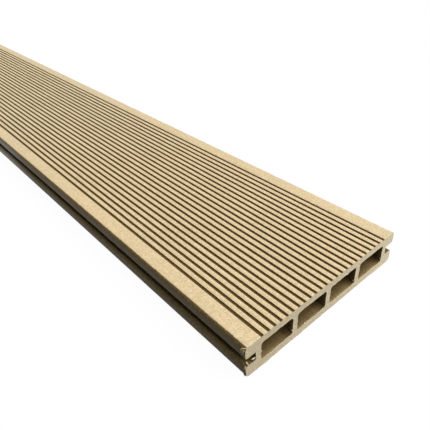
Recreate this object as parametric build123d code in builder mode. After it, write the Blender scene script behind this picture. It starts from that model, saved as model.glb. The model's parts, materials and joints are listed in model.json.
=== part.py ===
"""Hollow composite decking board: one straight extruded length, tread face up.

Frame: origin at the middle of the base face, X along the length, Y across, Z up.
All sizes in millimetres.
"""
from build123d import *
import os

os.makedirs("parts", exist_ok=True)

# Stock size
board_length = 2200.0
board_width = 140.0
board_thickness = 25.0
tread_edge_radius = 2.5
base_edge_radius = 3.0

# Tread grooves, between two plain margins
groove_count = 24
groove_width = 2.0
groove_depth = 1.0
groove_bed_radius = 0.6
plain_margin = 11.7

# Hollow chambers
chamber_count = 4
web_thickness = 4.25
tread_wall = 5.5
base_wall = 6.0
chamber_roof_radius = 2.0
chamber_floor_radius = 1.0

# Clip slots along both long edges
slot_depth = 7.6
upper_lip = 9.1
lower_lip = 9.5
upper_lip_radius = 1.5
lower_lip_radius = 2.0
slot_root_radius = 1.0

# Places that follow from the sizes above
half_width = board_width / 2
slot_wall_y = half_width - slot_depth
slot_top_z = board_thickness - upper_lip
chamber_height = board_thickness - tread_wall - base_wall
chamber_width = (2 * slot_wall_y - (chamber_count + 1) * web_thickness) / chamber_count
chamber_pitch = chamber_width + web_thickness
groove_pitch = (board_width - 2 * plain_margin - groove_width) / (groove_count - 1)

# Chambers, side by side above the base wall
with BuildSketch() as chambers:
    with Locations((0, base_wall)):
        with GridLocations(chamber_pitch, 0, chamber_count, 1):
            Rectangle(chamber_width, chamber_height, align=(Align.CENTER, Align.MIN))
    fillet(chambers.vertices().group_by(Axis.Y)[-1], chamber_roof_radius)
    fillet(chambers.vertices().group_by(Axis.Y)[0], chamber_floor_radius)

# Grooves, open at the tread face
with BuildSketch() as grooves:
    with Locations((0, board_thickness)):
        with GridLocations(groove_pitch, 0, groove_count, 1):
            Rectangle(groove_width, groove_depth, align=(Align.CENTER, Align.MAX))
    fillet(grooves.vertices().group_by(Axis.Y)[0], groove_bed_radius)

with BuildPart() as decking_board:
    with BuildSketch(Plane.YZ.offset(-board_length / 2)):
        with BuildLine():
            FilletPolyline(
                (0, 0),
                (half_width, 0),
                (half_width, lower_lip),
                (slot_wall_y, lower_lip),
                (slot_wall_y, slot_top_z),
                (half_width, slot_top_z),
                (half_width, board_thickness),
                (0, board_thickness),
                radius=(
                    base_edge_radius,
                    lower_lip_radius,
                    slot_root_radius,
                    slot_root_radius,
                    upper_lip_radius,
                    tread_edge_radius,
                ),
            )
            mirror(about=Plane.YZ)
        make_face()
        add(chambers.sketch, mode=Mode.SUBTRACT)
        add(grooves.sketch, mode=Mode.SUBTRACT)
    extrude(amount=board_length)

decking_board.part.label = "decking_board"
export_step(decking_board.part, "parts/decking_board.step")
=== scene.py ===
import json
import math

import bpy
import numpy as np
from mathutils import Matrix, Vector, noise
from mathutils.geometry import delaunay_2d_cdt

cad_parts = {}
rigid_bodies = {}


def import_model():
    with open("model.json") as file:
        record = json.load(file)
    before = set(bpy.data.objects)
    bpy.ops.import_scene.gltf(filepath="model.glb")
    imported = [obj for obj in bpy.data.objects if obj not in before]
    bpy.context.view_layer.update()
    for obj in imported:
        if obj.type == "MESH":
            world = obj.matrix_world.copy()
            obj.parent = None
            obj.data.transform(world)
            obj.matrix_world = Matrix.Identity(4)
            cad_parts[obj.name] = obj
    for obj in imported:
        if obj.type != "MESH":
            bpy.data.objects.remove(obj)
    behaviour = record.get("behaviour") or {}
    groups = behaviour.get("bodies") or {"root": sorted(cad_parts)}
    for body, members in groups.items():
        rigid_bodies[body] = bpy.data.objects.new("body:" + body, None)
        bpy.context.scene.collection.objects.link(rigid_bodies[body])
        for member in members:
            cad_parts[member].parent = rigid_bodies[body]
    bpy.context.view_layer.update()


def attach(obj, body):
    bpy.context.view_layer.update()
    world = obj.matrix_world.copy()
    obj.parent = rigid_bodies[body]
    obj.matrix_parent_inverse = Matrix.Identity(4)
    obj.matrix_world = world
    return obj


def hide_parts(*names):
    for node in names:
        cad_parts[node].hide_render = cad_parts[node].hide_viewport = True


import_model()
print("frame loaded")

mm = 0.001

# Section sizes in mm, as in the frame. Runs of the outline are named for their finish.
board = {
    "length": 2200.0, "width": 140.0, "thickness": 25.0,
    "treadEdge": 2.5, "baseEdge": 3.0,
    "sanded": 0.2,              # how deep the sanding of the tread cuts into its rounded edges
    "grooveCount": 24, "grooveWidth": 2.0, "grooveDepth": 1.0, "grooveBed": 0.6,
    "grooveMouth": 0.12,
    "wornMouth": 0.45,          # the outermost grooves are softer on the margin's side
    "margin": 11.7,
    "chamberCount": 4, "web": 4.25, "treadWall": 5.5, "baseWall": 6.0,
    "chamberRoof": 2.0, "chamberFloor": 1.0,
    "slotDepth": 7.6, "upperLip": 9.1, "lowerLip": 9.5,
    "upperLipEdge": 1.5, "lowerLipEdge": 2.0, "slotRoot": 1.0,
    "wander": 0.07, "wanderLength": 110.0,      # how far a groove strays, and over what length
    # how finely the mesh follows the board: along it, back from each cut, and round the section
    "longStep": 24.0,
    "endSteps": [0.0, 0.15, 0.3, 0.45, 0.65, 1.0, 1.5, 2.4, 4.0, 7.0, 12.0, 20.0, 32.0],
    "meshStep": {"tread": 2.2, "groove": 3.0, "skin": 3.0, "slot": 2.6, "base": 2.2,
                 "chamber": 2.6, "chamberFloor": 2.6},
    "sharpFrom": 38.0,          # edges that turn by more degrees than this stay crisp
}

# What the saw did to the two ends, in mm. A grain is the size of the noise behind an effect.
sawCut = {
    "ragged": 0.2, "raggedGrain": 0.9, "raggedBias": 0.25,      # fine teeth, a little more in than out
    "wave": 0.16, "chamberWave": 0.32, "waveGrain": 4.0,        # slower waves of the same edge
    "raggedReach": 1.1, "raggedFade": 1.5,      # how far from the cut both fade out, and how steeply
    "along": 0.4,                               # how much the noise changes along the board
    "recess": 0.12, "recessGrain": 1.3,         # how far the edge may lie behind the cut
    "sharedReach": 0.3, "sharedPoints": 3,      # points this close share one way out of the solid
    "frayed": 0.7, "frayedGrain": 1.1,          # how far back the cut shows past the edge
    "frayedAlong": 0.3, "frayedFade": 0.8,      # the same noise along the board, and how it thins out
    "frayedBed": 0.3, "frayedGroove": 0.75,     # the same at a groove's bed, and how much more at its mouth
    # on the tread, the torn rim is pale fibres and also a painted highlight along the cut edge
    "paleRim": -0.05, "skinRim": -0.22,         # the lower, the more of the tread's or skin's rim is torn
    "faceRelief": 0.05, "faceGrain": 0.8, "faceInset": 0.04,    # the cut face: how rough, and how far in
    "faceStep": 0.9, "faceGap": 0.45,           # its mesh: spacing, and gap to the edge in spacings
    "faceJitter": 0.3, "jitterGrain": 0.37,     # how far its points stray, in spacings
    # lips and chips at the shown end: across, up, how far out along the board,
    # how far the edge grows or (below 0) is chipped away, and reach
    "nicks": [
        (-54.0, 0.0, 0.40, 0.0, 3.0), (-46.0, 0.0, 0.24, 0.0, 2.8), (-27.5, 0.0, 0.22, 0.0, 4.0),
        (-18.0, 0.0, 0.24, 0.0, 2.0), (0.0, 0.0, -0.12, 0.0, 2.0), (6.0, 0.0, 0.14, 0.0, 3.5),
        (18.0, 0.0, 0.10, 0.0, 3.0), (33.0, 0.0, 0.18, 0.0, 2.2), (52.5, 0.0, 0.38, 0.0, 4.0),
        (62.0, 0.0, 0.36, 0.0, 5.0),
        (-51.2, 6.0, 0.0, -0.55, 2.2), (-38.0, 6.0, 0.0, 0.25, 1.8), (9.2, 6.0, 0.0, -0.5, 2.0),
        (39.5, 6.0, 0.0, -0.4, 3.5), (45.5, 6.0, 0.0, -0.4, 3.0),
    ],
}

# starting places in the noise, one for each effect
seeds = {"jitter": (5.0, 14.0), "relief": 3.0, "ragged": 11.0, "wave": 41.0, "recess": 29.0,
         "frayed": (4.0, 1.0, 7.0), "wander": (7.3, 2.0)}


def roundedCorner(before, here, after, radius):
    # points round one corner of the section, from its first side to its second
    if radius <= 0:
        return [np.array(here, float)]
    before, here, after = (np.array(p, float) for p in (before, here, after))
    back, on = before - here, after - here
    back /= np.linalg.norm(back)
    on /= np.linalg.norm(on)
    half = math.acos(max(-1.0, min(1.0, float(back @ on)))) / 2
    middle = back + on
    centre = here + middle / np.linalg.norm(middle) * radius / math.sin(half)
    first = here + back * radius / math.tan(half) - centre
    last = here + on * radius / math.tan(half) - centre
    sweep = math.pi - 2 * half
    steps = 2 if radius < 0.3 else 4 if radius < 1.2 else 8      # more points round a larger corner
    fractions = [i / steps for i in range(steps + 1)]
    return [centre + (first * math.sin((1 - t) * sweep) + last * math.sin(t * sweep)) / math.sin(sweep)
            for t in fractions]


def sectionLoop(corners):
    # corners: (y, z, radius, finish of the rounding, finish of the side after it, groove)
    points, finishes, grooves = [], [], []
    count = len(corners)
    arcs = [roundedCorner(corners[i - 1][:2], corners[i][:2], corners[(i + 1) % count][:2], corners[i][2])
            for i in range(count)]
    for i, corner in enumerate(corners):
        arc, nextArc = arcs[i], arcs[(i + 1) % count]
        for p in arc[:-1]:
            points.append(p)
            finishes.append(corner[3])
            grooves.append(corner[5])
        start, end = arc[-1], nextArc[0]
        pieces = max(1, math.ceil(np.linalg.norm(end - start) / board["meshStep"][corner[4]]))
        for k in range(pieces):
            points.append(start + (end - start) * k / pieces)
            finishes.append(corner[4])
            grooves.append(corner[5] if k == 0 else -1)
    return np.array(points), finishes, np.array(grooves)


def boardOutline():
    half, top = board["width"] / 2, board["thickness"]
    wall, roof, lip = half - board["slotDepth"], top - board["upperLip"], board["lowerLip"]
    count, w = board["grooveCount"], board["grooveWidth"] / 2
    pitch = (board["width"] - 2 * board["margin"] - 2 * w) / (count - 1)
    right = [
        (half, 0, board["baseEdge"], "skin", "skin", -1),
        (half, lip, board["lowerLipEdge"], "skin", "slot", -1),
        (wall, lip, board["slotRoot"], "slot", "slot", -1),
        (wall, roof, board["slotRoot"], "slot", "slot", -1),
        (half, roof, board["upperLipEdge"], "skin", "skin", -1),
        (half, top, board["treadEdge"], "skin", "tread", -1),
    ]
    sides = ["skin", "slot", "slot", "slot", "skin", "base"]      # from the tread down to the base
    left = [(-y, z, r, arc, side, g) for (y, z, r, arc, _, g), side in zip(reversed(right), sides)]
    comb = []
    for k in reversed(range(count)):
        y = (k - (count - 1) / 2) * pitch
        bed = top - board["grooveDepth"]
        outer = board["wornMouth"] if k == count - 1 else board["grooveMouth"]
        inner = board["wornMouth"] if k == 0 else board["grooveMouth"]
        comb += [
            (y + w, top, outer, "tread", "groove", k),
            (y + w, bed, board["grooveBed"], "groove", "groove", k),
            (y - w, bed, board["grooveBed"], "groove", "groove", k),
            (y - w, top, inner, "tread", "tread", k),
        ]
    points, runs, grooves = sectionLoop(right + comb + left)
    # the tops of the outer roundings are sanded as the tread is
    lower = np.minimum(points[:, 1], np.roll(points[:, 1], -1))
    runs = ["tread" if run == "skin" and z > top - board["sanded"] else run for run, z in zip(runs, lower)]
    return points, runs, grooves


def chamberOutlines():
    wall = board["width"] / 2 - board["slotDepth"]
    count = board["chamberCount"]
    wide = (2 * wall - (count + 1) * board["web"]) / count
    low, high = board["baseWall"], board["thickness"] - board["treadWall"]
    loops = []
    for k in range(count):
        y = (k - (count - 1) / 2) * (wide + board["web"])
        a, b = y - wide / 2, y + wide / 2
        roof, floor = board["chamberRoof"], board["chamberFloor"]
        loops.append(sectionLoop([
            (a, low, floor, "chamberFloor", "chamber", -1), (a, high, roof, "chamber", "chamber", -1),
            (b, high, roof, "chamber", "chamber", -1), (b, low, floor, "chamberFloor", "chamberFloor", -1),
        ]))
    return loops


def grain(points, size, seed):
    # smooth noise between -1 and 1 at each point; each seed starts at its own place in it
    return np.array([noise.noise(Vector(p) / size + Vector((seed, seed * 1.7, -seed))) for p in points])


def stations():
    half = board["length"] / 2
    near = board["endSteps"]
    reach = half - near[-1]
    count = round(2 * reach / board["longStep"])
    middle = [reach - 2 * reach * i / count for i in range(count + 1)]
    return [half - s for s in near[:-1]] + middle + [-(half - s) for s in reversed(near[:-1])]


def insideLoops(points, loops):
    # even-odd test of many points against all the closed outlines at once
    inside = np.zeros(len(points), bool)
    for loop in loops:
        a, b = loop, np.roll(loop, -1, axis=0)
        for (ya, za), (yb, zb) in zip(a, b):
            crosses = (za > points[:, 1]) != (zb > points[:, 1])
            if zb == za:
                continue
            at = ya + (points[:, 1] - za) / (zb - za) * (yb - ya)
            inside ^= crosses & (points[:, 0] < at)
    return inside


def nearestEdge(points, loops):
    outline = np.vstack(loops)
    return np.array([np.min(np.hypot(*(outline - p).T)) for p in points])


def endFace(rings, x, facing, vertices, faces, finishes):
    # fills one sawn end between the outline and the chambers, with a fine rough mesh
    loops = [np.array([vertices[i][1:] for i in ring]) for ring in rings]
    step = sawCut["faceStep"]
    ys = np.arange(-board["width"] / 2, board["width"] / 2, step)
    zs = np.arange(0, board["thickness"], step)
    grid = np.array([(y, z) for y in ys for z in zs])
    flatGrid = np.column_stack([grid, np.zeros(len(grid))])
    grid += sawCut["faceJitter"] * step * np.column_stack([grain(flatGrid, sawCut["jitterGrain"], seed)
                                                           for seed in seeds["jitter"]])
    grid = grid[insideLoops(grid, loops)]
    grid = grid[nearestEdge(grid, loops) > sawCut["faceGap"] * step]
    indices = [i for ring in rings for i in ring]
    flat = [Vector(vertices[i][1:]) for i in indices] + [Vector(p) for p in grid]
    edges, first = [], 0
    for ring in rings:
        edges += [(first + i, first + (i + 1) % len(ring)) for i in range(len(ring))]
        first += len(ring)
    # triangles between all the points, along the outlines and within the outermost one
    made = delaunay_2d_cdt(flat, edges, [], 1, 1e-5)
    newVerts, newFaces, origins = made[0], made[2], made[3]
    relief = grain([(p[0], p[1], x) for p in newVerts], sawCut["faceGrain"], seeds["relief"])
    place = []
    for i, origin in enumerate(origins):
        if origin and origin[0] < len(indices):
            place.append(indices[origin[0]])
        else:
            place.append(len(vertices))
            depth = x + relief[i] * sawCut["faceRelief"] - facing * sawCut["faceInset"]
            vertices.append((depth, *newVerts[i]))
    centres = np.array([np.mean([newVerts[i][:] for i in f], axis=0) for f in newFaces])
    kept = insideLoops(centres, loops)
    for face, keep in zip(newFaces, kept):
        if keep:
            a, b, c = (newVerts[i] for i in face)
            turn = (b[0] - a[0]) * (c[1] - a[1]) - (b[1] - a[1]) * (c[0] - a[0])
            face = [place[i] for i in face]
            faces.append(face if turn * facing > 0 else face[::-1])
            finishes.append("sawn")


def outward(loop):
    # the way out of the solid at each point
    # points close together share it, so a small rounding never folds over
    tangent = np.roll(loop, -1, axis=0) - np.roll(loop, 1, axis=0)
    away = np.column_stack([tangent[:, 1], -tangent[:, 0]])
    away /= np.linalg.norm(away, axis=1)[:, None]
    shared = np.zeros_like(away)
    for shift in range(-sawCut["sharedPoints"], sawCut["sharedPoints"] + 1):
        apart = np.linalg.norm(np.roll(loop, shift, axis=0) - loop, axis=1)
        weight = np.exp(-(apart / sawCut["sharedReach"]) ** 2)
        shared += np.roll(away, shift, axis=0) * weight[:, None]
    return shared / np.linalg.norm(shared, axis=1)[:, None]


def frayedFinish(run, x, yz):
    # the saw tears the last few tenths of a millimetre
    # that leaves a pale rim on the tread, torn fibres and a painted highlight along the cut edge,
    # and the colour of the cut elsewhere
    depth = board["length"] / 2 - abs(x)
    if run == "groove":
        bed = board["thickness"] - board["grooveDepth"]
        reach = sawCut["frayedBed"] + sawCut["frayedGroove"] * (yz[1] - bed) / board["grooveDepth"]
        return "sawn" if depth < reach else run
    if run not in ("tread", "skin") or depth > sawCut["frayed"]:
        return run
    place = Vector((x * sawCut["frayedAlong"], *yz)) / sawCut["frayedGrain"] + Vector(seeds["frayed"])
    tear = noise.noise(place) - depth * sawCut["frayedFade"]
    if run == "skin":
        return "sawn" if tear > sawCut["skinRim"] else run
    return "torn" if tear > sawCut["paleRim"] else run


def buildBoard(materials):
    outlines = [boardOutline()] + chamberOutlines()
    xs = stations()
    half = board["length"] / 2
    vertices, faces, finishes = [], [], []
    endRings = {0: [], len(xs) - 1: []}
    for number, (yz, runs, grooves) in enumerate(outlines):
        away = outward(yz)
        size, start = len(yz), len(vertices)
        for x in xs:
            ring = yz.copy()
            for k in range(board["grooveCount"]):
                place = Vector((x / board["wanderLength"], k * seeds["wander"][0], seeds["wander"][1]))
                ring[grooves == k, 0] += board["wander"] * noise.noise(place)
            fade = max(0.0, 1 - (half - abs(x)) / sawCut["raggedReach"]) ** sawCut["raggedFade"]
            back = np.zeros(size)
            if fade > 0:
                places = [(x * sawCut["along"], *p) for p in yz]
                torn = grain(places, sawCut["raggedGrain"], seeds["ragged"] + number) - sawCut["raggedBias"]
                wave = grain(places, sawCut["waveGrain"], seeds["wave"] + number)
                wave *= sawCut["wave" if number == 0 else "chamberWave"]
                ring += away * ((torn * sawCut["ragged"] + wave) * fade)[:, None]
                dip = np.maximum(0, grain(places, sawCut["recessGrain"], seeds["recess"]))
                back = dip * sawCut["recess"] * (fade == 1)
                for across, up, out, growth, reach in sawCut["nicks"] if x > 0 else []:
                    share = np.exp(-((yz[:, 0] - across) ** 2 + (yz[:, 1] - up) ** 2) / reach ** 2) * fade
                    ring += away * (growth * share)[:, None]
                    back -= out * share * (fade == 1)
            vertices += [(x - b * math.copysign(1, x), y, z) for b, (y, z) in zip(back, ring)]
        for i in range(len(xs) - 1):
            for j in range(size):
                k = (j + 1) % size
                a, b = start + i * size, start + (i + 1) * size
                faces.append([a + j, b + j, b + k, a + k])
                finishes.append(frayedFinish(runs[j], (xs[i] + xs[i + 1]) / 2, (yz[j] + yz[k]) / 2))
        for i in endRings:
            endRings[i].append(list(range(start + i * size, start + (i + 1) * size)))
    for i, rings in endRings.items():
        endFace(rings, xs[i], math.copysign(1, xs[i]), vertices, faces, finishes)
    names = ["tread", "groove", "skin", "slot", "chamber", "chamberFloor", "sawn", "torn", "base"]
    mesh = bpy.data.meshes.new("board_body")
    mesh.from_pydata([tuple(c * mm for c in v) for v in vertices], [], faces)
    for name in names:
        mesh.materials.append(materials[name])
    mesh.polygons.foreach_set("material_index", [names.index(f) for f in finishes])
    mesh.shade_smooth()
    mesh.set_sharp_from_angle(angle=math.radians(board["sharpFrom"]))
    mesh.validate()
    body = bpy.data.objects.new("board_body", mesh)
    bpy.context.scene.collection.objects.link(body)
    triangles = sum(len(p.vertices) - 2 for p in mesh.polygons)
    print("board body:", len(mesh.vertices), "points,", triangles, "triangles")
    return body


# Burrs and shavings that the saw left, in mm from the middle of the sawn end's lower edge.
# A path runs along the shaving, "across" is the way of its width, "thick" is how stout it is.
burrs = {
    "cornerRim": {"path": [(0.1, -68.9, 24.5), (-1.0, -69.5, 24.1), (-2.3, -70.1, 23.5),
                           (-3.3, -70.4, 22.3), (-3.6, -70.4, 20.8)],
                  "across": (0.1, -0.9, 0.5), "width": 0.7, "thick": 0.6, "finish": "torn"},
    "cornerHollow": {"path": [(-0.1, -69.8, 22.6), (-1.6, -70.2, 22.1), (-3.2, -70.3, 21.2)],
                     "across": (0.2, -0.3, 1.0), "width": 3.0, "thick": 0.5, "finish": "scorched"},
    "cornerFlap": {"path": [(-4.0, -70.1, 20.8), (-3.0, -70.4, 20.9), (-2.0, -70.5, 20.7),
                            (-0.8, -70.2, 20.3)],
                   "across": (0.1, 0.1, 1.0), "width": 2.8, "thick": 0.5, "finish": "dull"},
    "cornerStrip": {"path": [(-0.2, -69.9, 21.5), (-0.2, -70.0, 20.0), (-0.2, -70.0, 18.2),
                             (-0.2, -69.9, 16.9)],
                    "across": (1.0, -0.2, 0.1), "width": 0.5, "thick": 0.4, "finish": "torn"},
    "slotFlake": {"path": [(-0.5, -65.3, 11.8), (-0.4, -64.0, 11.2), (-0.4, -62.2, 10.7)],
                  "across": (0.2, 0.1, 1.0), "width": 1.6, "thick": 0.6, "finish": "torn"},
    "lipSliver": {"path": [(0.0, -69.9, 14.4), (0.0, -69.2, 12.8), (0.0, -68.6, 11.2), (0.0, -67.8, 9.4)],
                  "across": (0.15, 0.9, 0.37), "width": 0.8, "thick": 0.4, "finish": "torn"},
    "lipCrumb": {"path": [(-0.9, -69.6, 9.7), (-0.6, -70.1, 8.8), (-0.3, -70.3, 7.4)],
                 "across": (1.0, -0.2, 0.2), "width": 1.7, "thick": 0.6, "finish": "sawn"},
    "footBurr": {"path": [(-2.8, -69.3, 0.9), (-1.6, -69.7, 1.2), (-0.6, -70.0, 1.8), (0.0, -70.1, 3.0)],
                 "across": (0.0, -0.5, 0.86), "width": 1.5, "thick": 0.5, "finish": "scorched"},
    # the edge crumbs are painted glints on small crumbs of the cut
    "edgeCrumb1": {"path": [(-0.4, -63.5, 24.95), (-0.35, -63.1, 25.1), (-0.35, -62.6, 24.95)],
                   "across": (1.0, 0.0, 0.2), "width": 0.65, "thick": 0.35, "finish": "glintCrumb"},
    "edgeCrumb2": {"path": [(-0.6, -61.0, 24.95), (-0.55, -60.6, 25.1), (-0.55, -60.1, 24.95)],
                   "across": (1.0, 0.0, 0.2), "width": 0.65, "thick": 0.35, "finish": "glintCrumb"},
    "edgeCrumb3": {"path": [(-0.35, -59.7, 24.95), (-0.3, -59.4, 25.05), (-0.3, -59.0, 24.95)],
                   "across": (1.0, 0.0, 0.2), "width": 0.5, "thick": 0.3, "finish": "glintCrumb"},
    "farRim": {"path": [(-0.6, 60.2, 24.95), (-0.5, 62.4, 25.02), (-0.5, 64.6, 25.02), (-0.6, 66.9, 24.95)],
               "across": (1.0, 0.0, 0.1), "width": 0.6, "thick": 0.3, "finish": "torn"},
    "webNib": {"path": [(-0.3, -58.8, 14.0), (-0.2, -58.1, 12.9), (-0.3, -58.7, 11.7)],
               "across": (0.8, 0.6, 0.0), "width": 1.2, "thick": 0.7, "finish": "sawn"},
    "floorNib1": {"path": [(-0.3, -21.9, 5.7), (-0.1, -21.3, 6.2), (-0.3, -20.7, 5.7)],
                  "across": (1.0, 0.0, 0.2), "width": 0.9, "thick": 0.6, "finish": "torn"},
    "floorNib2": {"path": [(-0.3, -19.5, 5.7), (-0.1, -19.0, 6.15), (-0.3, -18.5, 5.7)],
                  "across": (1.0, 0.0, 0.2), "width": 0.8, "thick": 0.5, "finish": "torn"},
    "cornerNib1": {"path": [(-0.4, -32.1, 9.1), (-0.2, -32.8, 8.4), (-0.4, -32.2, 7.7)],
                   "across": (1.0, 0.0, 0.0), "width": 0.8, "thick": 0.6, "finish": "sawn"},
    "cornerNib2": {"path": [(-0.7, 28.2, 8.1), (-0.6, 27.2, 7.5), (-0.7, 28.1, 6.8)],
                   "across": (1.0, 0.0, 0.0), "width": 0.7, "thick": 0.5, "finish": "dull"},
    "cornerNib3": {"path": [(-0.7, 58.3, 8.1), (-0.6, 57.7, 7.6), (-0.7, 58.2, 7.1)],
                   "across": (1.0, 0.0, 0.0), "width": 0.5, "thick": 0.35, "finish": "dull"},
}


# how fine a shaving's mesh is, how thin its tips are, how torn its edge is, and its steps through the noise
shavingShape = {
    "stepsPerPart": 4, "sides": 8, "tip": 0.25, "tipFade": 0.6, "torn": 0.45, "tornScale": 1.3,
    "stepRound": 0.9, "stepAlong": 0.31, "stepSeed": 3.7,
}


def shaving(spec, seed, vertices, faces, finishes):
    # sweeps a flat oval along the path, thin at both ends, with a torn edge
    path = [Vector(p) for p in spec["path"]]
    steps, sides = shavingShape["stepsPerPart"] * (len(path) - 1), shavingShape["sides"]
    start = len(vertices)
    for i in range(steps + 1):
        t = i / steps * (len(path) - 1)
        k = min(int(t), len(path) - 2)
        before, after = path[max(k - 1, 0)], path[min(k + 2, len(path) - 1)]
        u = t - k
        a, b = path[k], path[k + 1]
        # a smooth curve through the points of the path, and the way it runs
        here = 0.5 * ((2 * a) + (b - before) * u + (2 * before - 5 * a + 4 * b - after) * u * u
                      + (3 * a - before - 3 * b + after) * u ** 3)
        ahead = ((b - before) + 2 * u * (2 * before - 5 * a + 4 * b - after)
                 + 3 * u * u * (3 * a - before - 3 * b + after)).normalized()
        wide = Vector(spec["across"])
        wide = (wide - wide.dot(ahead) * ahead).normalized()
        up = ahead.cross(wide)
        tip = shavingShape["tip"]
        taper = tip + (1 - tip) * math.sin(math.pi * (i / steps)) ** shavingShape["tipFade"]
        for s in range(sides):
            turn = 2 * math.pi * s / sides
            shift = Vector((s * shavingShape["stepRound"], seed, i * shavingShape["stepAlong"]))
            tear = noise.noise(here * shavingShape["tornScale"] + shift)
            torn = 1 + shavingShape["torn"] * tear
            w = spec["width"] / 2 * taper * torn * math.cos(turn)
            h = spec["thick"] / 2 * taper * math.sin(turn)
            vertices.append(here + wide * w + up * h)
    for i in range(steps):
        for s in range(sides):
            a, b = start + i * sides, start + (i + 1) * sides
            q = (s + 1) % sides
            faces.append([a + s, a + q, b + q, b + s])
            finishes.append(spec["finish"])
    faces.append([start + s for s in reversed(range(sides))])
    faces.append([start + steps * sides + s for s in range(sides)])
    finishes += [spec["finish"]] * 2


def buildBurrs(materials):
    vertices, faces, finishes = [], [], []
    for seed, spec in enumerate(burrs.values()):
        shaving(spec, seed * shavingShape["stepSeed"], vertices, faces, finishes)
    names = ["torn", "dull", "sawn", "scorched", "glintCrumb"]
    mesh = bpy.data.meshes.new("saw_burrs")
    end = Vector((board["length"] / 2, 0, 0))
    mesh.from_pydata([(v + end) * mm for v in vertices], [], faces)
    for name in names:
        mesh.materials.append(materials[name])
    mesh.polygons.foreach_set("material_index", [names.index(f) for f in finishes])
    mesh.shade_smooth()
    mesh.validate()
    piece = bpy.data.objects.new("saw_burrs", mesh)
    bpy.context.scene.collection.objects.link(piece)
    print("saw burrs:", len(burrs), "shavings")
    return piece


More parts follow.
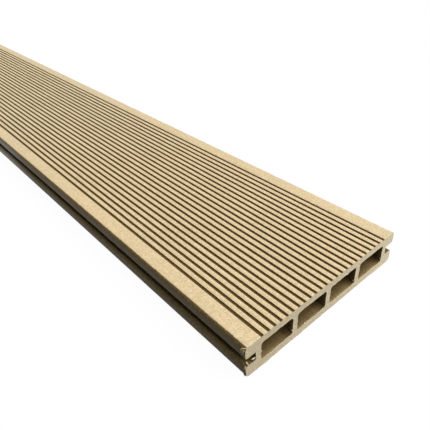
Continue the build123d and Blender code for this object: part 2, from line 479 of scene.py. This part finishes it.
# Finishes. Colours are as the eye gives them, 0 to 255, and sizes are in mm.
# "shade" is mixed into the colour as a mottle, "fleck" and "pale" are its dark and pale specks.
# "shine" is how much it reflects, "lines", "flecks" and "broad" are strengths, and "bump" and
# "depth" give the relief of the grain. "worn" is rubbed through near the tread. The dust colour lies
# near the cuts: dust, and painted light that falls in at the open ends. Farther in, from the sheen
# start on and over the sheen length, a finish turns to its "glossy" roughness or takes its painted
# cool sheen tint.
finish = {
    "tread": {
        "colour": (234, 210, 168), "shade": (218, 194, 150), "fleck": (184, 166, 134),
        "pale": (248, 230, 194), "roughness": 0.85, "shine": 0.25, "lines": 0.3, "broad": 0.1,
        "grainSize": 1.0, "bump": 0.22, "depth": 0.12, "sheenFrom": 150.0, "sheenOver": 260.0,
        # a painted cool sheen, farther in from the cut ends
        "paintedSheenTint": (0.96, 0.99, 1.045),
    },
    "base": {
        "colour": (214, 192, 152), "shade": (200, 176, 134), "fleck": (184, 162, 124),
        "pale": (226, 206, 168), "roughness": 0.8, "shine": 0.25, "lines": 0.35, "broad": 0.15,
        "grainSize": 1.0, "bump": 0.22, "depth": 0.12,
    },
    "groove": {
        "colour": (102, 80, 43), "shade": (86, 66, 31), "fleck": (70, 54, 28), "pale": (118, 98, 60),
        "roughness": 0.75, "shine": 0.15, "lines": 0.4, "broad": 0.1, "grainSize": 1.0, "bump": 0.2,
        "depth": 0.08,
    },
    "skin": {
        "colour": (114, 97, 62), "shade": (100, 84, 51), "fleck": (77, 64, 40), "pale": (138, 118, 80),
        "roughness": 0.55, "shine": 0.12, "lines": 0.5, "flecks": 1.2, "broad": 0.15, "grainSize": 1.1,
        "bump": 0.2, "depth": 0.08, "worn": (200, 172, 124), "wornDepth": 0.3, "wornRagged": 0.7,
        "glossy": 0.38, "sheenFrom": 278.0, "sheenOver": 75.0,
    },
    "slot": {
        "colour": (99, 82, 51), "shade": (77, 63, 37), "fleck": (54, 44, 27), "pale": (129, 107, 69),
        "roughness": 0.7, "shine": 0.03, "lines": 0.9, "flecks": 1.2, "broad": 0.1, "grainSize": 0.7,
        # lighter near the cut: dust, and painted light that falls in at the open end
        "bump": 0.3, "depth": 0.1, "dustAndPaintedLight": (106, 90, 61), "dustAndLightReach": 4.0,
    },
    "chamber": {
        "colour": (92, 74, 41), "shade": (68, 54, 28), "fleck": (46, 37, 19), "pale": (120, 98, 59),
        "roughness": 0.7, "shine": 0.08, "lines": 1.6, "flecks": 1.4, "broad": 0.1, "grainSize": 0.55,
        # lighter near the cut: dust, and painted light that falls in at the open end
        "bump": 0.3, "depth": 0.1, "dustAndPaintedLight": (160, 134, 92), "dustAndLightReach": 2.0,
    },
    "chamberFloor": {
        "colour": (92, 74, 41), "shade": (68, 54, 28), "fleck": (46, 37, 19), "pale": (120, 98, 59),
        "roughness": 0.7, "shine": 0.08, "lines": 1.6, "flecks": 1.4, "broad": 0.1, "grainSize": 0.55,
        # lighter near the cut: dust and painted light; painted shade beside each right-hand wall
        "bump": 0.3, "depth": 0.1, "dustAndPaintedLight": (139, 116, 79), "dustAndLightReach": 4.2, "wallShade": 0.9,
    },
    "sawn": {
        # the grey flecks of the cut are partly wood flour and partly painted glints
        "colour": (206, 186, 145), "shade": (183, 167, 133), "fleck": (143, 136, 122),
        "pale": (229, 207, 160), "roughness": 0.5, "shine": 0.8, "lines": 0.0, "flecks": 1.15,
        "broad": 0.1, "grainSize": 0.6, "bump": 0.6, "depth": 0.22,
    },
    # pale torn fibres; on the tread's rim also a painted highlight along the cut edge
    "torn": {
        "colour": (240, 220, 176), "shade": (222, 198, 152), "fleck": (192, 172, 132),
        "pale": (248, 234, 200), "roughness": 0.7, "shine": 0.4, "lines": 0.0, "broad": 0.0,
        "grainSize": 0.7, "bump": 0.5, "depth": 0.2,
    },
    "dull": {
        "colour": (178, 170, 152), "shade": (146, 136, 116), "fleck": (112, 100, 78),
        "pale": (196, 188, 168), "roughness": 0.8, "shine": 0.3, "lines": 0.0, "broad": 0.0,
        "grainSize": 0.9, "bump": 0.5, "depth": 0.2,
    },
    # near white: small crumbs of the cut, coloured as painted glints
    "glintCrumb": {
        "colour": (255, 252, 240), "shade": (248, 242, 224), "fleck": (230, 222, 200),
        "pale": (255, 255, 250), "roughness": 0.7, "shine": 0.4, "lines": 0.0, "broad": 0.0,
        "grainSize": 0.7, "bump": 0.3, "depth": 0.1,
    },
    "scorched": {
        "colour": (222, 194, 142), "shade": (186, 160, 112), "fleck": (132, 110, 70),
        "pale": (236, 212, 166), "roughness": 0.8, "shine": 0.2, "lines": 0.0, "broad": 0.0,
        "grainSize": 0.8, "bump": 0.4, "depth": 0.15,
    },
}


def linear(colour):
    values = [c / 255 for c in colour]
    return tuple(v / 12.92 if v <= 0.04045 else ((v + 0.055) / 1.055) ** 2.4 for v in values) + (1.0,)


def addNode(tree, kind, at, **settings):
    node = tree.nodes.new(kind)
    node.location = at
    for name, value in settings.items():
        setattr(node, name, value)
    return node


def mathNode(tree, at, operation, first, second=None, clamp=False):
    node = addNode(tree, "ShaderNodeMath", at, operation=operation, use_clamp=clamp)
    for slot, value in enumerate((first, second)):
        if value is None:
            continue
        if isinstance(value, (int, float)):
            node.inputs[slot].default_value = value
        else:
            tree.links.new(value, node.inputs[slot])
    return node.outputs[0]


def noiseNode(tree, at, vector, scale, detail, roughness=0.5):
    node = addNode(tree, "ShaderNodeTexNoise", at)
    tree.links.new(vector, node.inputs["Vector"])
    for name, value in (("Scale", scale), ("Detail", detail), ("Roughness", roughness)):
        node.inputs[name].default_value = value
    return node.outputs["Fac"]


def stepNode(tree, at, value, low, high):
    node = addNode(tree, "ShaderNodeMapRange", at, interpolation_type="SMOOTHSTEP")
    tree.links.new(value, node.inputs["Value"])
    node.inputs["From Min"].default_value = low
    node.inputs["From Max"].default_value = high
    return node.outputs["Result"]


def newGroup(name, inputs, outputs):
    tree = bpy.data.node_groups.new(name, "ShaderNodeTree")
    for label, kind, value in inputs:
        socket = tree.interface.new_socket(label, in_out="INPUT", socket_type=kind)
        if value is not None:
            socket.default_value = value
    for label, kind in outputs:
        tree.interface.new_socket(label, in_out="OUTPUT", socket_type=kind)
    return tree, addNode(tree, "NodeGroupInput", (-900, 0)), addNode(tree, "NodeGroupOutput", (700, 0))


# noises of the wood flour: scale in grains, detail, roughness, and the range that makes each a mask
flourLook = {
    "mottle": (0.7, 3.0, 0.6), "mottleRange": (0.34, 0.66),
    "dark": (1.0, 1.0, 0.5), "darkRange": (0.58, 0.76),
    "pale": (0.9, 1.0, 0.5), "paleRange": (0.58, 0.74),
    "broad": (0.035, 2.0, 0.5), "shift": (31.7, 8.3, 17.9),
}


def woodFlourGroup():
    # ground wood in plastic: a soft mottle, dark flecks, pale flecks and broad clouds
    tree, given, made = newGroup(
        "wood flour",
        [("Vector", "NodeSocketVector", None), ("Grain Size", "NodeSocketFloat", 1.0)],
        [("Mottle", "NodeSocketFloat"), ("Dark Flecks", "NodeSocketFloat"),
         ("Pale Flecks", "NodeSocketFloat"), ("Broad", "NodeSocketFloat")])
    size = mathNode(tree, (-700, -200), "DIVIDE", 1 / mm, given.outputs["Grain Size"])
    scaled = addNode(tree, "ShaderNodeVectorMath", (-500, 0), operation="SCALE")
    tree.links.new(given.outputs["Vector"], scaled.inputs["Vector"])
    tree.links.new(size, scaled.inputs["Scale"])
    vector = scaled.outputs["Vector"]
    shifted = addNode(tree, "ShaderNodeVectorMath", (-300, -300), operation="ADD")
    tree.links.new(vector, shifted.inputs[0])
    shifted.inputs[1].default_value = flourLook["shift"]
    elsewhere = shifted.outputs["Vector"]
    mottle = noiseNode(tree, (-200, 200), vector, *flourLook["mottle"])
    dark = noiseNode(tree, (-200, 0), vector, *flourLook["dark"])
    pale = noiseNode(tree, (-100, -200), elsewhere, *flourLook["pale"])
    broad = noiseNode(tree, (-100, -400), elsewhere, *flourLook["broad"])
    tree.links.new(stepNode(tree, (100, 200), mottle, *flourLook["mottleRange"]), made.inputs["Mottle"])
    tree.links.new(stepNode(tree, (100, 0), dark, *flourLook["darkRange"]), made.inputs["Dark Flecks"])
    tree.links.new(stepNode(tree, (100, -200), pale, *flourLook["paleRange"]), made.inputs["Pale Flecks"])
    tree.links.new(broad, made.inputs["Broad"])
    return tree


# drawn lines: how often they change along and across the board, per metre, with detail and roughness
linesLook = {
    "along": (30.0, 1500.0, 1500.0), "alongNoise": (1.0, 3.0, 0.6),
    "cross": (520.0, 90.0, 90.0), "crossNoise": (1.0, 1.0, 0.5),
}


def drawnLinesGroup():
    # fine lines along the board, from the die in the skin and from sanding on the tread
    tree, given, made = newGroup("drawn lines", [("Vector", "NodeSocketVector", None)],
                                 [("Lines", "NodeSocketFloat"), ("Cross Marks", "NodeSocketFloat")])
    for kind, output, height in (("along", "Lines", 100), ("cross", "Cross Marks", -200)):
        stretched = addNode(tree, "ShaderNodeVectorMath", (-500, height), operation="MULTIPLY")
        tree.links.new(given.outputs["Vector"], stretched.inputs[0])
        stretched.inputs[1].default_value = linesLook[kind]
        marks = noiseNode(tree, (-200, height), stretched.outputs["Vector"], *linesLook[kind + "Noise"])
        tree.links.new(marks, made.inputs[output])
    return tree


wallShadeRange = (2.0, 8.0)      # mm from a right-hand wall between which the dust thickens and the painted shade beside the wall fades


def dustAndLightGroup():
    # The dust output is 1 at either cut end and fades over the reach, in mm: dust, and painted light
    # that falls in at the open end. A wall shade above 0 leaves less of it beside each chamber's
    # right-hand wall, a painted shade. The sheen output rises from 0 to 1 farther in from the cuts;
    # it drives the tread's painted cool sheen and the skin's glossier roughness.
    tree, given, made = newGroup(
        "sawdust and painted light",
        [("Vector", "NodeSocketVector", None), ("Reach", "NodeSocketFloat", 5.0),
         ("Wall Shade", "NodeSocketFloat", 0.0), ("Sheen From", "NodeSocketFloat", 300.0),
         ("Sheen Over", "NodeSocketFloat", 75.0)],
        [("Dust And Painted Light", "NodeSocketFloat"), ("Sheen", "NodeSocketFloat")])
    split = addNode(tree, "ShaderNodeSeparateXYZ", (-700, 0))
    tree.links.new(given.outputs["Vector"], split.inputs[0])
    away = mathNode(tree, (-300, 0), "SUBTRACT", board["length"] / 2 * mm,
                    mathNode(tree, (-500, 0), "ABSOLUTE", split.outputs["X"]))
    distance = mathNode(tree, (-200, 0), "MULTIPLY", away, 1 / mm)
    # sheen: on the tread a painted cool sheen, on the skin a glossier roughness
    past = mathNode(tree, (-100, 300), "SUBTRACT", distance, given.outputs["Sheen From"])
    sheenRamp = mathNode(tree, (0, 300), "DIVIDE", past, given.outputs["Sheen Over"])
    tree.links.new(stepNode(tree, (100, 300), sheenRamp, 0.0, 1.0), made.inputs["Sheen"])
    share = mathNode(tree, (-100, 0), "DIVIDE", distance, given.outputs["Reach"])
    inward = mathNode(tree, (0, -100), "MULTIPLY", share, -1.0)
    fade = mathNode(tree, (100, 0), "POWER", math.e, inward, True)
    # distance from the nearest right-hand wall, repeated from chamber to chamber
    lastWall = board["width"] / 2 - board["slotDepth"] - board["web"]
    pitch = (lastWall * 2 + board["web"]) / board["chamberCount"]
    fromWall = mathNode(tree, (-300, -300), "SUBTRACT", lastWall,
                        mathNode(tree, (-500, -300), "MULTIPLY", split.outputs["Y"], 1 / mm))
    wrapped = mathNode(tree, (-100, -300), "WRAP", fromWall, pitch)
    wrapped.node.inputs[2].default_value = 0.0
    # painted shade: less of the lighter dust beside each right-hand wall
    wallShadeMask = mathNode(tree, (100, -300), "SUBTRACT", 1.0, stepNode(tree, (0, -300), wrapped, *wallShadeRange))
    kept = mathNode(tree, (300, -300), "SUBTRACT", 1.0,
                    mathNode(tree, (200, -300), "MULTIPLY", wallShadeMask, given.outputs["Wall Shade"]))
    tree.links.new(mathNode(tree, (500, 0), "MULTIPLY", fade, kept), made.inputs["Dust And Painted Light"])
    return tree


# ragged patches of the worn edge: how often they change, per metre, and half the soft step in mm
wearLook = {"patches": (400.0, 1200.0, 1200.0), "detail": 2.0, "soft": 0.12}


def edgeWearGroup():
    # 1 above the limit where the sanding ran over the rounded edge, in ragged patches below it
    tree, given, made = newGroup(
        "edge wear",
        [("Vector", "NodeSocketVector", None), ("Limit", "NodeSocketFloat", 0.0),
         ("Ragged", "NodeSocketFloat", 0.0)],
        [("Wear", "NodeSocketFloat")])
    split = addNode(tree, "ShaderNodeSeparateXYZ", (-700, 100))
    tree.links.new(given.outputs["Vector"], split.inputs[0])
    height = mathNode(tree, (-600, 100), "MULTIPLY", split.outputs["Z"], 1 / mm)
    over = mathNode(tree, (-500, 100), "SUBTRACT", height, given.outputs["Limit"])
    patchy = addNode(tree, "ShaderNodeVectorMath", (-700, -200), operation="MULTIPLY")
    tree.links.new(given.outputs["Vector"], patchy.inputs[0])
    patchy.inputs[1].default_value = wearLook["patches"]
    patches = noiseNode(tree, (-400, -200), patchy.outputs["Vector"], 1.0, wearLook["detail"])
    stray = mathNode(tree, (-200, -200), "SUBTRACT", patches, 0.5)
    ragged = mathNode(tree, (0, -200), "MULTIPLY", stray, given.outputs["Ragged"])
    reached = mathNode(tree, (100, 0), "ADD", over, ragged)
    worn = stepNode(tree, (300, 0), reached, -wearLook["soft"], wearLook["soft"])
    tree.links.new(worn, made.inputs["Wear"])
    return tree


def mixColour(tree, at, fac, first, second, blend="MIX"):
    node = addNode(tree, "ShaderNodeMix", at, data_type="RGBA", blend_type=blend)
    for socket, value in ((node.inputs[0], fac), (node.inputs[6], first), (node.inputs[7], second)):
        if isinstance(value, (int, float, tuple)):
            socket.default_value = value
        else:
            tree.links.new(value, socket)
    return node.outputs[2]


shares = {
    "cross": 0.3,           # cross marks against drawn lines, in the colour
    "lineBump": 0.5,        # drawn lines against grain, in the relief
    "flecks": 0.7,          # strength of the flecks where a finish gives none
}


def compositeMaterial(name, flour, lines, dustAndPaintedLight, wear):
    look = finish[name]
    material = bpy.data.materials.new("composite_" + name)
    material.use_nodes = True
    tree = material.node_tree
    tree.nodes.clear()
    output = addNode(tree, "ShaderNodeOutputMaterial", (900, 0))
    shader = addNode(tree, "ShaderNodeBsdfPrincipled", (600, 0))
    tree.links.new(shader.outputs[0], output.inputs[0])
    place = addNode(tree, "ShaderNodeTexCoord", (-1100, 0)).outputs["Object"]
    grains = addNode(tree, "ShaderNodeGroup", (-800, 150), node_tree=flour)
    tree.links.new(place, grains.inputs["Vector"])
    grains.inputs["Grain Size"].default_value = look["grainSize"]
    drawn = addNode(tree, "ShaderNodeGroup", (-800, -150), node_tree=lines)
    tree.links.new(place, drawn.inputs["Vector"])
    colour, shade = linear(look["colour"]), linear(look["shade"])
    body = mixColour(tree, (-500, 300), grains.outputs["Mottle"], colour, shade)
    if "worn" in look:
        rubbed = addNode(tree, "ShaderNodeGroup", (-700, 650), node_tree=wear)
        tree.links.new(place, rubbed.inputs["Vector"])
        rubbed.inputs["Limit"].default_value = board["thickness"] - look["wornDepth"]
        rubbed.inputs["Ragged"].default_value = look["wornRagged"]
        body = mixColour(tree, (-450, 600), rubbed.outputs["Wear"], body, linear(look["worn"]))
    # dust near the cuts, with painted light falling in at the open ends
    if "dustAndPaintedLight" in look:
        dustAndLightNode = addNode(tree, "ShaderNodeGroup", (-700, 450), node_tree=dustAndPaintedLight)
        tree.links.new(place, dustAndLightNode.inputs["Vector"])
        dustAndLightNode.inputs["Reach"].default_value = look["dustAndLightReach"]
        # painted shade beside the chambers' right-hand walls
        dustAndLightNode.inputs["Wall Shade"].default_value = look.get("wallShade", 0.0)
        body = mixColour(tree, (-400, 450), dustAndLightNode.outputs["Dust And Painted Light"], body, linear(look["dustAndPaintedLight"]))
    flecks = look.get("flecks", shares["flecks"])
    dark = mathNode(tree, (-500, 100), "MULTIPLY", grains.outputs["Dark Flecks"], flecks, True)
    body = mixColour(tree, (-300, 300), dark, body, linear(look["fleck"]))
    pale = mathNode(tree, (-300, 100), "MULTIPLY", grains.outputs["Pale Flecks"], flecks, True)
    body = mixColour(tree, (-100, 300), pale, body, linear(look["pale"]))
    # lines and clouds darken and lighten the colour evenly about its own tone
    streak = mathNode(tree, (-500, -100), "SUBTRACT", drawn.outputs["Lines"], 0.5)
    cross = mathNode(tree, (-500, -300), "SUBTRACT", drawn.outputs["Cross Marks"], 0.5)
    cross = mathNode(tree, (-400, -400), "MULTIPLY", cross, shares["cross"])
    both = mathNode(tree, (-300, -200), "ADD", streak, cross)
    cloud = mathNode(tree, (-500, -450), "SUBTRACT", grains.outputs["Broad"], 0.5)
    spread = mathNode(tree, (-300, -450), "MULTIPLY", cloud, look["broad"])
    level = mathNode(tree, (-100, -100), "MULTIPLY_ADD", both, look["lines"])
    level.node.inputs[2].default_value = 1.0
    level = mathNode(tree, (0, -100), "ADD", level, spread)
    grey = addNode(tree, "ShaderNodeCombineColor", (80, -100))
    for channel in range(3):
        tree.links.new(level, grey.inputs[channel])
    body = mixColour(tree, (280, 200), 1.0, body, grey.outputs[0], "MULTIPLY")
    if "sheenFrom" in look:
        sheen = addNode(tree, "ShaderNodeGroup", (-100, -600), node_tree=dustAndPaintedLight)
        tree.links.new(place, sheen.inputs["Vector"])
        sheen.inputs["Sheen From"].default_value = look["sheenFrom"]
        sheen.inputs["Sheen Over"].default_value = look["sheenOver"]
    # painted sheen: a cool tint farther in from the cut ends
    if "paintedSheenTint" in look:
        tint = (*look["paintedSheenTint"], 1.0)
        body = mixColour(tree, (440, 200), sheen.outputs["Sheen"], body, tint, "MULTIPLY")
    tree.links.new(body, shader.inputs["Base Color"])
    shader.inputs["Roughness"].default_value = look["roughness"]
    if "glossy" in look:
        change = look["glossy"] - look["roughness"]
        gloss = mathNode(tree, (200, -600), "MULTIPLY_ADD", sheen.outputs["Sheen"], change)
        gloss.node.inputs[2].default_value = look["roughness"]
        tree.links.new(gloss, shader.inputs["Roughness"])
    shader.inputs["Specular IOR Level"].default_value = look["shine"]
    ridges = mathNode(tree, (-100, -300), "MULTIPLY", drawn.outputs["Lines"], shares["lineBump"])
    height = mathNode(tree, (80, -350), "ADD", ridges, grains.outputs["Mottle"])
    bump = addNode(tree, "ShaderNodeBump", (300, -350))
    bump.inputs["Strength"].default_value = look["bump"]
    bump.inputs["Distance"].default_value = look["depth"] * mm
    tree.links.new(height, bump.inputs["Height"])
    tree.links.new(bump.outputs["Normal"], shader.inputs["Normal"])
    return material


flour, lines, dustAndPaintedLight, wear = woodFlourGroup(), drawnLinesGroup(), dustAndLightGroup(), edgeWearGroup()
materials = {name: compositeMaterial(name, flour, lines, dustAndPaintedLight, wear) for name in finish}
print("finishes:", ", ".join(finish))

body = buildBoard(materials)
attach(body, "root")
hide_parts("decking_board")

shavings = buildBurrs(materials)
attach(shavings, "root")

# Floor, light and camera
studio = {
    "floorSize": 14.0, "floorDrop": 0.0003, "floorGrey": 0.05, "floorGlow": 0.955,
    "ambient": 0.12, "ambientTint": (1.0, 1.0, 1.0),
    "sun": 3.3, "sunFrom": (0.52, 0.24, 0.82), "sunAngle": 70.0,
    # low and cool, beside the far corner of the shown end
    "fill": 0.49, "fillTint": (0.74, 0.84, 1.0), "fillPlace": (1.3, 0.23, 0.065), "fillSize": 0.1,
}
cameraSet = {
    "place": (1.208253, -0.170738, 0.216679),
    "right": (0.654941, 0.753611, -0.055875), "down": (0.409470, -0.416058, -0.811930),
    "ahead": (-0.635127, 0.508887, -0.581074),
    "lens": 37.4977, "sensor": 36.0, "clip": (0.01, 50.0),
}


def seenDirectly(tree, at):
    # 1 for camera, glossy and transmission rays, 0 for the light that bounces
    path = addNode(tree, "ShaderNodeLightPath", at)
    straight = mathNode(tree, (at[0] + 200, at[1]), "MAXIMUM", path.outputs["Is Camera Ray"],
                        path.outputs["Is Glossy Ray"])
    return mathNode(tree, (at[0] + 400, at[1]), "MAXIMUM", straight, path.outputs["Is Transmission Ray"])


def buildStudio():
    scene = bpy.context.scene
    world = bpy.data.worlds.new("studio")
    scene.world = world
    world.use_nodes = True
    tree = world.node_tree
    tree.nodes.clear()
    plain = addNode(tree, "ShaderNodeBackground", (0, 100))
    plain.inputs["Color"].default_value = (*studio["ambientTint"], 1.0)
    plain.inputs["Strength"].default_value = studio["ambient"]
    white = addNode(tree, "ShaderNodeBackground", (0, -100))
    white.inputs["Color"].default_value = (1.0, 1.0, 1.0, 1.0)
    white.inputs["Strength"].default_value = 1.0
    mix = addNode(tree, "ShaderNodeMixShader", (300, 0))
    tree.links.new(seenDirectly(tree, (-600, 300)), mix.inputs[0])
    tree.links.new(plain.outputs[0], mix.inputs[1])
    tree.links.new(white.outputs[0], mix.inputs[2])
    tree.links.new(mix.outputs[0], addNode(tree, "ShaderNodeOutputWorld", (500, 0)).inputs[0])

    half = studio["floorSize"] / 2
    mesh = bpy.data.meshes.new("studio_floor")
    corners = [(-half, -half), (half, -half), (half, half), (-half, half)]
    mesh.from_pydata([(x, y, -studio["floorDrop"]) for x, y in corners], [], [(0, 1, 2, 3)])
    floor = bpy.data.objects.new("studio_floor", mesh)
    scene.collection.objects.link(floor)
    paper = bpy.data.materials.new("floor_paper")
    paper.use_nodes = True
    tree = paper.node_tree
    tree.nodes.clear()
    matt = addNode(tree, "ShaderNodeBsdfDiffuse", (0, 100))
    matt.inputs["Color"].default_value = (studio["floorGrey"],) * 3 + (1.0,)
    glow = addNode(tree, "ShaderNodeEmission", (0, -100))
    strength = mathNode(tree, (-200, -100), "MULTIPLY", seenDirectly(tree, (-900, 0)), studio["floorGlow"])
    tree.links.new(strength, glow.inputs["Strength"])
    both = addNode(tree, "ShaderNodeAddShader", (300, 0))
    tree.links.new(matt.outputs[0], both.inputs[0])
    tree.links.new(glow.outputs[0], both.inputs[1])
    tree.links.new(both.outputs[0], addNode(tree, "ShaderNodeOutputMaterial", (500, 0)).inputs[0])
    mesh.materials.append(paper)

    lamp = bpy.data.lights.new("soft_sun", "SUN")
    lamp.energy = studio["sun"]
    lamp.angle = math.radians(studio["sunAngle"])
    sun = bpy.data.objects.new("soft_sun", lamp)
    sun.rotation_euler = Vector(studio["sunFrom"]).to_track_quat("Z", "Y").to_euler()
    scene.collection.objects.link(sun)

    lamp = bpy.data.lights.new("low_fill", "AREA")
    lamp.energy, lamp.size, lamp.color = studio["fill"], studio["fillSize"], studio["fillTint"]
    fill = bpy.data.objects.new("low_fill", lamp)
    fill.location = studio["fillPlace"]
    aim = Vector(fill.location) - Vector((board["length"] / 2 * mm, 0, board["thickness"] / 2 * mm))
    fill.rotation_euler = aim.to_track_quat("Z", "Y").to_euler()
    fill.visible_camera = False
    fill.visible_glossy = False
    scene.collection.objects.link(fill)
    scene.view_settings.view_transform = "Standard"
    print("studio ready")


def buildCamera():
    data = bpy.data.cameras.new("camera")
    data.lens = cameraSet["lens"]
    data.sensor_width = cameraSet["sensor"]
    data.clip_start, data.clip_end = cameraSet["clip"]
    camera = bpy.data.objects.new("camera", data)
    right, down, ahead = (Vector(cameraSet[k]) for k in ("right", "down", "ahead"))
    turn = Matrix((right, -down, -ahead)).transposed().to_4x4()
    camera.matrix_world = Matrix.Translation(cameraSet["place"]) @ turn
    bpy.context.scene.collection.objects.link(camera)
    bpy.context.scene.camera = camera
    print("camera ready")


buildStudio()
buildCamera()
